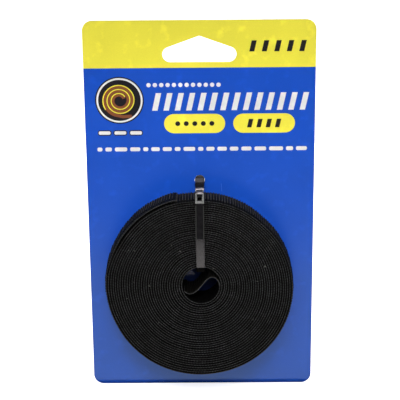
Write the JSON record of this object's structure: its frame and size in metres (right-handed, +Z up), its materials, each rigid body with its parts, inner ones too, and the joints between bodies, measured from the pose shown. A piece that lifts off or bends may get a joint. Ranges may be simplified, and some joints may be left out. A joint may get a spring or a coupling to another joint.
{
  "type": "carded hook and loop tape roll",
  "caption": "Flat roll of double-sided hook and loop tape held on a hanging header card by a cable tie looped through the bore and over the rim.",
  "frame": {"origin": "top of the hang hole, midway through the card's thickness, where a display peg carries the card", "axes": "+X to the right as the printed side is seen, +Y into the card from its printed side, +Z up"},
  "size_m": [0.0888, 0.0193, 0.1524],
  "materials": {
    "printed_board": "gloss-coated blue print with a yellow header, plain white back",
    "hook_and_loop": "black nylon pile",
    "nylon": "glossy black moulding"
  },
  "bodies": {
    "card": {"backing_card": "printed_board", "cable_tie": "nylon"},
    "roll": {"tape_roll": "hook_and_loop"},
    "tongue": {"tie_pawl": "nylon"}
  },
  "joints": [
    {"name": "roll_turn", "type": "hinge", "parent": "card", "child": "roll", "pos_m": [0, -0.00695, -0.0974], "axis": [0, -1, 0], "range_deg": [-8, 30]},
    {"name": "tongue_flex", "type": "hinge", "parent": "card", "child": "tongue", "pos_m": [-0.0003, -0.01135, -0.06026], "axis": [1, 0, 0], "range_deg": [0, 6], "stiffness_Nm_per_rad": 0.005}
  ]
}
